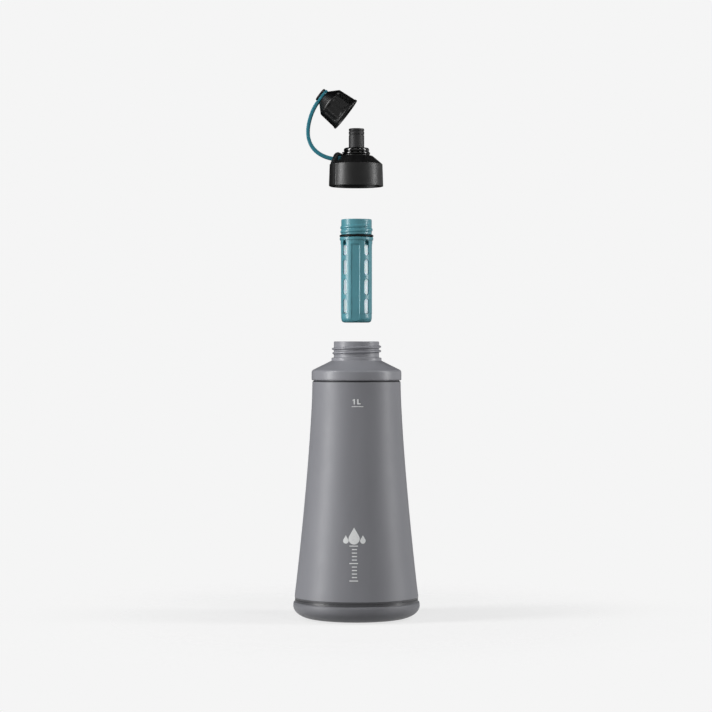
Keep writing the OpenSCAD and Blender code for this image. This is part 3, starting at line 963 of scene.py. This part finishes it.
def make_hood():
    """The bridge over the tether's end, with the window that the strap comes out of."""
    outline = [(17.6, 16.6), (21.1, 17.4), (20.0, 21.4, 1.5), (18.0, 25.6, 1.0), (16.8, 26.8, 0.7),
               (15.9, 26.9, 0.4), (10.6, 24.9, 0.1), (10.6, 23.6), (15.2, 25.0, 0.5),
               (16.1, 24.4, 0.6), (17.6, 19.4, 0.8)]
    span = (math.pi - HOOD_HALF, math.pi + HOOD_HALF)
    hood = turned("hood", rounded(up(outline, CAP_Z), steps=4), span=span, steps=40)
    middle, gap = CAP_Z + ANCHOR_Z, 0.4
    half_w, half_h = STRAP_W / 2 + gap, STRAP_T / 2 + gap
    window = rounded_box("window", (-24, -half_w, middle - half_h), (-15, half_w, middle + half_h),
                         0.5)
    cut(hood, window)
    return soften(hood, 0.22 * MM, 2, 50)


def make_mouthpiece():
    """The spout, on a flange and with two fine grooves under its tip."""
    foot, tip, flange = CAP_Z + 26.0, SPOUT_TOP, 8.0
    outline = [(BORE_R, foot, 0.2), (flange, foot, 0.3), (flange, foot + 1.0, 0.3),
               (SPOUT_R, foot + 1.3, 0.8)]
    for groove_z in (40.9, 43.9):
        z = CAP_Z + groove_z
        outline += [(SPOUT_R, z - 0.12, 0.3), (SPOUT_R - 0.38, z, 0.15),
                    (SPOUT_R - 0.38, z + 0.6, 0.15), (SPOUT_R, z + 0.72, 0.3)]
    outline += [(SPOUT_R, tip - 0.9), (SPOUT_R - 0.15, tip - 0.1, 0.7), (BORE_R, tip, 0.8)]
    obj = turned("mouthpiece_piece", rounded(outline))
    finish_piece(obj, "spout_soft", "cap", "mouthpiece")


def make_collar():
    """The beaded collar round the spout, with a small lip on the tether's side."""
    base = CAP_Z + STUB_Z
    outline = [(8.3, base + SEAT_GAP)] + ellipse(9.75, base + 1.2, 1.2, 1.17, -72, 62, 12)
    outline += ellipse(8.95, base + 3.75, 1.25, 1.75, -42, 78, 12)
    outline += [(8.6, base + 5.6, 0.2), (6.5, base + 5.6, 0.25), (6.5, base + 2.4, 0.2),
                (8.3, base + 2.2, 0.2)]
    collar = turned("collar", rounded(outline, steps=4))
    lip = rounded_box("lip", (-11.5, -1.2, base + 1.2), (-9.9, 1.2, base + 2.3), 0.35)
    cut(collar, lip, operation="UNION")
    finish_piece(collar, "collar_gloss", "cap", "spout_collar")


make_cap_shell()
make_mouthpiece()
make_collar()


# ---------------------------------------------------------------- tether and dust cap

RING_AT = np.array(JOINTS["dust_cap_spin"]["pos_m"]) / MM
OUT = np.array(JOINTS["dust_cap_spin"]["axis"])  # from the dust cap's rim to its button
OPEN = math.atan2(-OUT[0], OUT[2])  # how far the dust cap is swung open
RING_U = 24.1  # the ring's height over the dust cap's rim
RING_R = 6.0
RING_IN_R = 4.3


def on_dust_cap(obj):
    """Moves a piece drawn with the dust cap's rim on z = 0 to the open dust cap."""
    rim = RING_AT - OUT * RING_U
    obj.data.transform(Matrix.Translation(Vector(rim) * MM) @ Matrix.Rotation(-OPEN, 4, "Y"))
    return obj


def strap_path():
    """The middle line of the strap in XZ, from the hood to the ring."""
    leave = np.array((-OUT[2], OUT[0]))
    end = RING_AT[[0, 2]] + leave * (RING_R - 0.2)
    anchor = np.array((-14.5, CAP_Z + ANCHOR_Z))
    bend = np.array((low("tether_strap")[0] + STRAP_T / 2, CAP_Z + 43.2))
    lower = (anchor, anchor + (-9.7, 0), bend + (0.2, -16), bend)
    upper = (bend, bend + (-0.15, 8), end + leave * 7.6, end)
    steps = 28
    return ([bezier(lower, i / steps) for i in range(steps)]
            + [bezier(upper, i / steps) for i in range(steps + 1)])


def strap_section():
    """A rounded rectangle with a shallow hollow along both faces."""
    w, t, corner, hollow = STRAP_W / 2, STRAP_T / 2, 0.75, 0.12
    points = []
    for cx, cy, start in ((w - corner, t - corner, 0), (-w + corner, t - corner, 90),
                          (-w + corner, -t + corner, 180), (w - corner, -t + corner, 270)):
        points += ellipse(cx, cy, corner, corner, start, start + 90, 4)
    points.insert(15, (0, -t + hollow))
    points.insert(5, (0, t - hollow))
    return points


def make_tether():
    """The strap, its ring and its T-shaped end in one piece, drawn in the bent shape it has at rest.
    """
    strap = swept("tether_piece", strap_path(), strap_section())
    ring = turned("ring", rounded([(RING_IN_R, RING_U - 1.1, 0.3), (RING_R, RING_U - 1.1, 0.4),
                                   (RING_R, RING_U + 1.0, 0.4), (RING_IN_R, RING_U + 1.0, 0.3)]),
                  steps=96)
    end = rounded_box("end", (-14.9, -6.0, CAP_Z + 19.2), (-12.25, 6.0, CAP_Z + 24.1), 0.4)
    cut(strap, on_dust_cap(ring), end, operation="UNION", sharp_deg=50)
    strap.data.materials.clear()
    strap.data.materials.append(MATERIALS["tether_teal"])
    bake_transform(strap)
    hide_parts("tether_strap", "tether_ring")


def make_button():
    """The button that keeps the ring on the dust cap's neck."""
    outline = [(0, -0.6), (2.3, -0.6), (2.3, 1.25, 0.2), (5.5, 1.25, 0.3), (5.6, 2.3, 0.5),
               (5.0, 2.9, 0.5), (1.2, 2.9, 0.2), (0.9, 2.6, 0.2), (0, 2.6)]
    obj = turned("button", rounded(up(outline, RING_U)), steps=96)
    finish_piece(on_dust_cap(obj), "dust_cap_plastic", "dust_cover", "tether_button")


def make_dust_cap():
    """The spout's cover, hollow, with twelve shallow flutes round its side."""
    rim, flute_low, flute_high = 14.3, 1.9, 16.2
    outline = [(12.2, 0, 0.3), (rim, 0, 0.45), (rim, 1.4, 0.4), (13.8, 1.9, 0.4), (12.4, 16.1, 0.6),
               (11.8, 16.9, 0.6), (6.2, 22.5, 0.6), (5.6, 22.8, 0.3), (4.0, 22.85, 0.3),
               (4.0, 25.3, 0.2), (2.4, 25.3), (2.4, 23.3), (0, 23.3), (0, 20.3), (6.0, 20.3, 0.2),
               (6.2, 19.8, 0.3), (10.8, 15.1, 0.5), (11.9, 1.0, 0.5)]
    pitch, depth = 2 * math.pi / 12, 0.5

    def shift(a, r, z):
        if r < 12.0 or not flute_low < z < flute_high:
            return 0
        across = abs(a % pitch - pitch / 2) / (pitch / 2)
        ends = step_up(z, flute_low + 0.4, flute_low + 2) * step_up(flute_high - 0.7 - z, 0, 1.6)
        return -depth * ends * (1 - step_up(across, 0.0, 0.92))

    cap = turned("dust_cap_piece", dense(rounded(outline), 0.5, flute_low, flute_high), shift,
                 steps=360)
    finish_piece(on_dust_cap(cap), "dust_cap_plastic", "dust_cover", "dust_cap")


make_tether()
make_button()
make_dust_cap()


# ---------------------------------------------------------------- CAD nodes that stay


def dress_inner_nodes():
    """The seals, the socket and the resin plug keep their CAD shape and get a material."""
    looks = {"potting_plug": "potting_resin", "cap_gasket": "seal_rubber",
             "filter_socket": "cap_inner", "spout_grommet": "seal_rubber",
             "dust_cap_liner": "seal_rubber"}
    for node, material in looks.items():
        mesh = frame["nodes"][node].data
        mesh.materials.clear()
        mesh.materials.append(MATERIALS[material])


dress_inner_nodes()


# ---------------------------------------------------------------- studio

BACKDROP = 0.913  # what the camera sees round the object
ROOM = 0.48  # brightness of the room that lights it
# (direction, from 0 straight down to 1 straight up; the room's brightness there)
ROOM_LEVELS = ((0.34, 0.42), (0.45, 1.0), (0.53, 1.0), (0.65, 0.22), (0.78, 0.03))
FLAG_DEG = -148  # azimuth of a dark flag behind the object, on its left
FLOOR_PAPER = 0.25
FLOOR_GLOW = 0.70
FLOOR_FADE = (0.07, 0.34)  # the floor fades out between these distances
AIM_HEIGHT = 0.22  # what the softboxes point at


def make_world():
    """A pale surround for the camera. The object itself is lit by a softer room that is
    bright near eye level and dark above and below."""
    world = bpy.data.worlds.new("studio")
    bpy.context.scene.world = world
    world.use_nodes = True
    tree = world.node_tree
    tree.nodes.clear()

    def add(kind, **values):
        node = tree.nodes.new(kind)
        for key, value in values.items():
            node.inputs[key].default_value = value
        return node

    out = add("ShaderNodeOutputWorld")
    mix = add("ShaderNodeMixShader")
    path = add("ShaderNodeLightPath")
    pale = add("ShaderNodeBackground", Color=(BACKDROP,) * 3 + (1,), Strength=1.0)
    room = add("ShaderNodeBackground", Strength=ROOM)
    place = add("ShaderNodeTexCoord")
    split = add("ShaderNodeSeparateXYZ")
    ramp = add("ShaderNodeValToRGB")
    half = add("ShaderNodeMapRange", **{"From Min": -1.0, "From Max": 1.0})
    marks = ramp.color_ramp.elements
    marks[0].position, marks[0].color = 0.0, (0.05, 0.05, 0.05, 1)
    marks[1].position, marks[1].color = 1.0, (0.02, 0.02, 0.02, 1)
    for at, level in ROOM_LEVELS:
        marks.new(at).color = (level, level, level, 1)
    tree.links.new(place.outputs["Generated"], split.inputs[0])
    tree.links.new(split.outputs["Z"], half.inputs["Value"])
    tree.links.new(half.outputs["Result"], ramp.inputs["Fac"])
    toward = add("ShaderNodeVectorMath")
    toward.operation = "DOT_PRODUCT"
    dark_side = math.radians(FLAG_DEG)
    toward.inputs[1].default_value = (math.sin(dark_side), -math.cos(dark_side), 0)
    # The flag's soft edge lies between these cosines of the angle from its middle
    flag = add("ShaderNodeMapRange", **{"From Min": 0.3, "From Max": 0.82, "To Min": 1.0,
                                        "To Max": 0.04})
    flag.interpolation_type = "SMOOTHSTEP"
    dim = add("ShaderNodeVectorMath")
    dim.operation = "SCALE"
    tree.links.new(place.outputs["Generated"], toward.inputs[0])
    tree.links.new(toward.outputs["Value"], flag.inputs["Value"])
    tree.links.new(ramp.outputs["Color"], dim.inputs[0])
    tree.links.new(flag.outputs["Result"], dim.inputs["Scale"])
    tree.links.new(dim.outputs["Vector"], room.inputs["Color"])
    tree.links.new(path.outputs["Is Camera Ray"], mix.inputs["Fac"])
    tree.links.new(room.outputs[0], mix.inputs[1])
    tree.links.new(pale.outputs[0], mix.inputs[2])
    tree.links.new(mix.outputs[0], out.inputs["Surface"])


def make_softbox(name, azimuth, height, distance, size, watts):
    """A soft light standing at an azimuth from the camera's side, in degrees, +X positive."""
    data = bpy.data.lights.new(name, "AREA")
    data.shape = "RECTANGLE"
    data.size, data.size_y = size
    data.energy = watts
    lamp = bpy.data.objects.new(name, data)
    bpy.context.scene.collection.objects.link(lamp)
    a = math.radians(azimuth)
    lamp.location = (distance * math.sin(a), -distance * math.cos(a), height)
    aim = Vector((0, 0, AIM_HEIGHT)) - lamp.location
    lamp.rotation_euler = aim.to_track_quat("-Z", "Y").to_euler()
    lamp.visible_camera = False


def make_floor():
    """A pale floor that fades into the surround."""
    bm = bmesh.new()
    bmesh.ops.create_grid(bm, x_segments=8, y_segments=8, size=1.2)
    mesh = bpy.data.meshes.new("floor")
    bm.to_mesh(mesh)
    bm.free()
    floor = new_object("floor", mesh)
    floor.location = (0, 0, -0.0003)
    mat = bpy.data.materials.new("floor")
    mat.use_nodes = True
    tree = mat.node_tree
    tree.nodes.clear()
    out = tree.nodes.new("ShaderNodeOutputMaterial")
    mix = tree.nodes.new("ShaderNodeMixShader")
    both = tree.nodes.new("ShaderNodeAddShader")
    clear = tree.nodes.new("ShaderNodeBsdfTransparent")
    paper = tree.nodes.new("ShaderNodeBsdfDiffuse")
    glow = tree.nodes.new("ShaderNodeEmission")
    paper.inputs["Color"].default_value = (FLOOR_PAPER,) * 3 + (1,)
    glow.inputs["Color"].default_value = (FLOOR_GLOW,) * 3 + (1,)
    place = tree.nodes.new("ShaderNodeTexCoord")
    size = tree.nodes.new("ShaderNodeVectorMath")
    size.operation = "LENGTH"
    fade = tree.nodes.new("ShaderNodeMapRange")
    fade.interpolation_type = "SMOOTHERSTEP"
    fade.inputs["From Min"].default_value, fade.inputs["From Max"].default_value = FLOOR_FADE
    tree.links.new(place.outputs["Object"], size.inputs[0])
    tree.links.new(size.outputs["Value"], fade.inputs["Value"])
    tree.links.new(paper.outputs[0], both.inputs[0])
    tree.links.new(glow.outputs[0], both.inputs[1])
    tree.links.new(fade.outputs["Result"], mix.inputs["Fac"])
    tree.links.new(both.outputs[0], mix.inputs[1])
    tree.links.new(clear.outputs[0], mix.inputs[2])
    tree.links.new(mix.outputs[0], out.inputs["Surface"])
    mesh.materials.append(mat)
    floor.visible_diffuse = False


bpy.context.scene.view_settings.view_transform = "Standard"
make_world()
make_softbox("left_softbox", azimuth=-72, height=0.55, distance=1.1, size=(0.30, 1.5), watts=17.0)
make_softbox("right_softbox", azimuth=84, height=0.62, distance=1.1, size=(0.24, 1.3), watts=9.8)
make_softbox("top_fill", azimuth=-12, height=1.45, distance=1.5, size=(0.9, 0.6), watts=2.0)
make_softbox("front_fill", azimuth=38, height=1.35, distance=1.3, size=(0.35, 0.35), watts=3.0)
make_floor()
